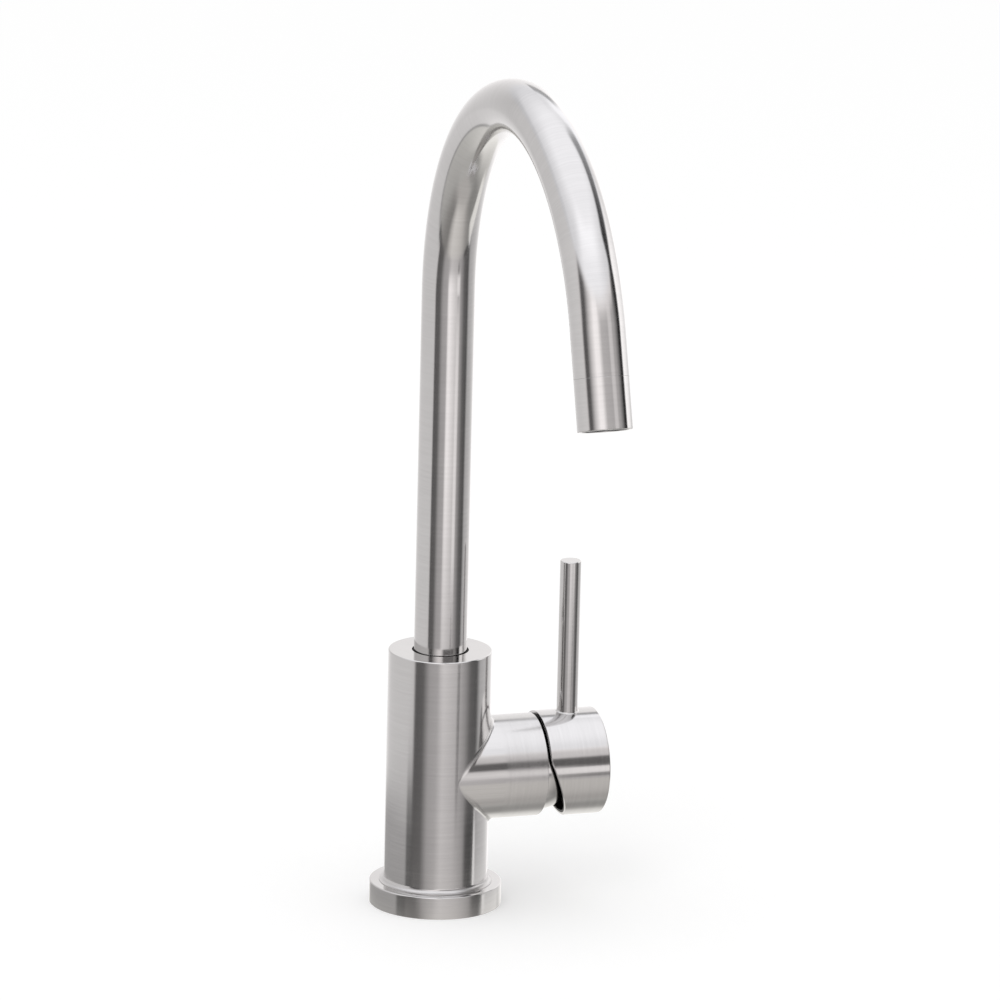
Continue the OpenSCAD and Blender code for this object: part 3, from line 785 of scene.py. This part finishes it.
def makeRod(r):
    turns = [2 * math.pi * i / r["turns"] for i in range(r["turns"])]
    fillet = ballFillet(r["radius"], hub["radius"], r["ball"], turns, r["ballSteps"])
    # the fillet comes with its bar along +X, and is turned to stand along +Z on the hub
    place = Vector((hub["rodX"], 0, barrelZ - r["sink"]))
    root = [[Vector((-p.z, p.y, p.x)) + place for p in ring] for ring in fillet]

    def hoop(radius, rise):
        return [Vector((hub["rodX"] - radius * math.cos(t), radius * math.sin(t), barrelZ + rise))
                for t in turns]

    seat = math.sqrt(hub["radius"] ** 2 - r["thread"] ** 2) - r["threadSink"]
    rings = [hoop(r["thread"], r["threadLow"]), hoop(r["thread"], seat)] + root
    tip = arc(r["radius"] - r["edge"], r["top"] - r["edge"], r["edge"], 0, 90, r["arcSteps"])
    rings += [hoop(radius, rise) for radius, rise in tip]
    points, faces = skin(rings)
    obj = drawPiece("leverRod", points, (), faces)
    closeUp(obj)
    return obj


dress(smooth(makeRod(rod)), steelUpright, "brushed_steel", "lever", "lever_rod")
print("pieces made")

# floor, studio and light
studio = {
    "floorHalf": 6.0,
    "floorShade": (0.93, 0.93, 0.93),
    "floorRoughness": 0.9,
    "floorLift": 0.17,  # added for the camera's rays, so that the floor reads as white
    "worldLight": 0.85,
    "drumRadius": 0.65,
    "drumHalf": 2.5,
    "drumHeart": 0.15,  # height of its middle
    "drumSides": 128,
}


def backgroundRays(tree):
    path = tree.add("ShaderNodeLightPath")
    return path["Is Camera Ray"] + path["Is Glossy Ray"] + path["Is Transmission Ray"]


def makeWorld(s):
    world = bpy.data.worlds.new("studio")
    bpy.context.scene.world = world
    world.use_nodes = True
    tree = Tree(world.node_tree)
    strength = backgroundRays(tree) * (1.0 - s["worldLight"]) + s["worldLight"]
    light = tree.add("ShaderNodeBackground", None, {
        "Color": (1, 1, 1, 1), "Strength": strength})["Background"]
    tree.add("ShaderNodeOutputWorld", None, {"Surface": light})


def makeFloor(s):
    deselectAll()
    bpy.ops.mesh.primitive_plane_add(size=2 * s["floorHalf"], location=(0, 0, 0))
    floor = bpy.context.object
    floor.name = "floor"
    material, tree = newMaterial("floor")
    seen = backgroundRays(tree) * s["floorLift"]
    finishWith(tree, {
        "Base Color": (*s["floorShade"], 1), "Roughness": s["floorRoughness"], "Specular IOR Level": 0.0,
        "Emission Color": grey(tree, seen), "Emission Strength": 1.0})
    floor.data.materials.append(material)
    floor.visible_glossy = False


# The drum round the faucet is painted by turn, in degrees to the right of the camera, and by rise, in
# degrees above its middle. Each level gives its brightness at chosen turns, and runs evenly between them.
levels = {
    "table": [
        (-180, 1.15), (-150, 0.85), (-120, 0.66), (-75, 0.55), (-45, 0.35), (-28, 0.31), (-12, 0.70),
        (2, 0.90), (28, 0.82), (48, 0.70), (68, 0.44), (82, 0.34), (112, 0.36), (128, 0.60),
        (146, 0.82), (180, 1.15)],
    "lowWalls": [
        (-180, 1.10), (-165, 1.08), (-146, 0.90), (-134, 0.83), (-59, 0.83), (-54, 0.14), (-36, 0.17),
        (-22, 0.50), (-4, 0.56), (10, 0.80), (38, 0.66), (60, 0.42), (73, 0.18), (90, 0.12),
        (100, 0.58), (126, 0.75), (148, 1.00), (162, 1.35), (172, 1.15), (180, 1.10)],
    "strip": [(-180, 0.0), (-3, 0.0), (3, 0.62), (20, 0.42), (42, 0.20), (60, 0.0), (180, 0.0)],
    "highWalls": [
        (-180, 1.10), (-150, 0.88), (-133, 0.74), (-125, 0.80), (-56, 0.90), (-48, 0.13), (-38, 0.15),
        (-24, 0.80), (-8, 1.40), (3, 1.36), (15, 0.68), (60, 0.56), (73, 0.20), (79, 0.03), (88, 0.03),
        (93, 1.60), (116, 1.30), (130, 1.05), (144, 1.45), (162, 1.45), (172, 1.15), (180, 1.10)],
}
# Panels over those levels, each over the ones before it. The four numbers of a rise or a turn say where
# the panel starts, where it is full, where it thins and where it ends.
panels = [
    {"rise": (-3, 0, 11, 17), "turn": (8, 16, 54, 66), "shade": 0.16},  # dark bar in front
    {"rise": (-29.5, -28, -25.5, -23.5), "turn": (-165, -150, -60, -56), "shade": 0.46},  # table's far edge
    {"rise": (-42, -38, -29, -26), "turn": (80, 92, 130, 142), "shade": 1.10},  # lit patch on the table
    {"rise": (-17.8, -16.8, -7, -6), "turn": (37, 41, 48, 56), "shade": 1.15},  # light strip on the hub
    {"rise": (-25, -23.5, -19, -18), "turn": (40, 42, 45.5, 48), "shade": 0.28},  # dark line under it
    {"rise": (-29.5, -28, -24.5, -23), "turn": (-73, -67, -56, -50), "shade": 0.13},  # base ring's left
    {"rise": (-28.5, -27, -25.5, -24.5), "turn": (88.5, 90, 91, 99), "shade": 1.30},  # base ring's light
    {"rise": (-28.5, -27, -25.5, -24.5), "turn": (60, 70, 86.5, 88.5), "shade": 0.07},  # and its dark end
    {"rise": (-6, -5, 0, 3), "turn": (39, 42, 47, 50), "shade": 0.14},  # hub's dark line
    {"rise": (13, 17, 32, 38), "turn": (37, 41, 48, 56), "shade": 0.88},  # window over the hub
]
backBar = {"rise": (28, 31, 38, 41), "turn": (156, 166, 200, 210), "shade": 0.50}
# The steps between the levels, the sky over the walls, the dark arch before it and the ground under the
# table. The last number of liftLeft and dropFront says by how many degrees, and that of archFade and
# groundRight by how much brightness.
sky = {
    "tableEdge": (-29.5, -26.5), "stripFoot": (-23, -11), "stripTop": (-4, 0), "wallStep": (-5, 3),
    "edge": (30, 37), "liftLeft": (-75, -50, 6), "dropFront": (2, 14, 64, 74, 5),
    "low": 1.02, "high": 1.36, "rise": (38, 66),
    "glowTurn": (-52, -22, 22, 75), "glowRise": (28, 36, 52, 68), "glow": 0.28,
    "archTurn": (74, 82, 136, 152), "archFrom": 37.5, "archSlope": 0.2, "archHalf": (5, 12),
    "archShade": 0.05, "archFade": (84, 150, 0.45),
    "ground": (-72, -56), "groundShade": 0.61, "groundRight": (66, 110, -0.20),
    "warmTurn": (-66, -52, 66, 88), "lessGreen": 0.035, "lessBlue": 0.035, "moreBlue": 0.03,
}


def makeSoftboxes(s, h):
    # a drum of light and dark panels that only reflections show
    deselectAll()
    bpy.ops.mesh.primitive_cylinder_add(
        vertices=s["drumSides"], radius=s["drumRadius"], depth=2 * s["drumHalf"], location=(0, 0, 0))
    drum = bpy.context.object
    drum.name = "softboxes"
    settle(drum, Matrix.Translation((0, 0, s["drumHeart"])))
    material, tree = newMaterial("softboxes")
    x, y, z = objectPlace(tree)[1:]
    ahead = x * camera["back"][0] + y * camera["back"][1]
    aside = x * camera["right"][0] + y * camera["right"][1]
    flat = x.maths("SQRT", x * x + y * y)
    turn = aside.maths("ARCTAN2", aside, ahead) * (180 / math.pi)
    rise = z.maths("ARCTAN2", z - s["drumHeart"], flat) * (180 / math.pi)
    share = turn / 360 + 0.5
    shade = {name: tree.add("ShaderNodeValToRGB", {
        "stops": [(a / 360 + 0.5, b) for a, b in stops]}, {"Fac": share})["Color"]
        for name, stops in levels.items()}
    shade = {name: tree.add("ShaderNodeSeparateColor", None, {"Color": c})["Red"]
             for name, c in shade.items()}
    strip = step(rise, *h["stripFoot"]) * (1 - step(rise, *h["stripTop"]))
    walls = shade["lowWalls"] + shade["strip"] * strip
    look = fade(shade["table"], walls, step(rise, *h["tableEdge"]))
    look = fade(look, shade["highWalls"], step(rise, *h["wallStep"]))

    def painted(under, panel):
        return fade(under, panel["shade"], between(rise, panel["rise"]) * between(turn, panel["turn"]))

    for panel in panels:
        look = painted(look, panel)
    # the walls end in a sloping edge on the right, under a dark arch
    lean = turn.maths("MAXIMUM", turn - h["archTurn"][1], 0.0) * h["archSlope"]
    a, b, lift = h["liftLeft"]
    *reach, drop = h["dropFront"]
    edgeLean = lean + (1 - step(turn, a, b)) * lift - between(turn, reach) * drop
    above = fade(h["low"], h["high"], step(rise, *h["rise"]))
    above = above + between(turn, h["glowTurn"]) * between(rise, h["glowRise"]) * h["glow"]
    look = painted(fade(look, above, step(rise - edgeLean, *h["edge"])), backBar)
    offArch = rise.maths("ABSOLUTE", rise - lean - h["archFrom"])
    arch = between(turn, h["archTurn"]) * (1 - step(offArch, *h["archHalf"]))
    a, b, dim = h["archFade"]
    look = fade(look, step(turn, a, b) * dim + h["archShade"], arch)
    a, b, dim = h["groundRight"]
    look = fade(step(turn, a, b) * dim + h["groundShade"], look, step(rise, *h["ground"]))
    # the walls are a little warmer than the sky, more so in front, and the table most
    onTable = 1 - step(rise, *h["tableEdge"])
    inSky = step(rise, *h["edge"])
    warm = (1 - inSky) * (between(turn, h["warmTurn"]) + 1) * 0.5
    green = look * (1 - warm * h["lessGreen"])
    blue = look * (1 - warm * h["lessGreen"] - onTable * h["lessBlue"] + inSky * h["moreBlue"])
    colour = tree.add("ShaderNodeCombineColor", None, {0: look, 1: green, 2: blue})
    glow = tree.add("ShaderNodeEmission", None, {"Color": colour["Color"], "Strength": 1.0})["Emission"]
    tree.add("ShaderNodeOutputMaterial", None, {"Surface": glow})
    material.cycles.emission_sampling = "NONE"
    drum.data.materials.append(material)
    drum.visible_camera = False
    drum.visible_diffuse = False
    drum.visible_shadow = False
    drum.visible_transmission = False


makeWorld(studio)
makeFloor(studio)
makeSoftboxes(studio, sky)

keyLight = {"size": 1.6, "power": 12.0, "place": (-1.2, -1.6, 2.6)}


def hangLamp(k):
    deselectAll()
    bpy.ops.object.light_add(type="AREA", location=k["place"])
    lamp = bpy.context.object
    lamp.name = "keyLight"
    lamp.data.size = k["size"]
    lamp.data.energy = k["power"]
    lamp.rotation_euler = (-Vector(k["place"])).to_track_quat("-Z", "Y").to_euler()
    lamp.visible_glossy = False


hangLamp(keyLight)
print("studio made")
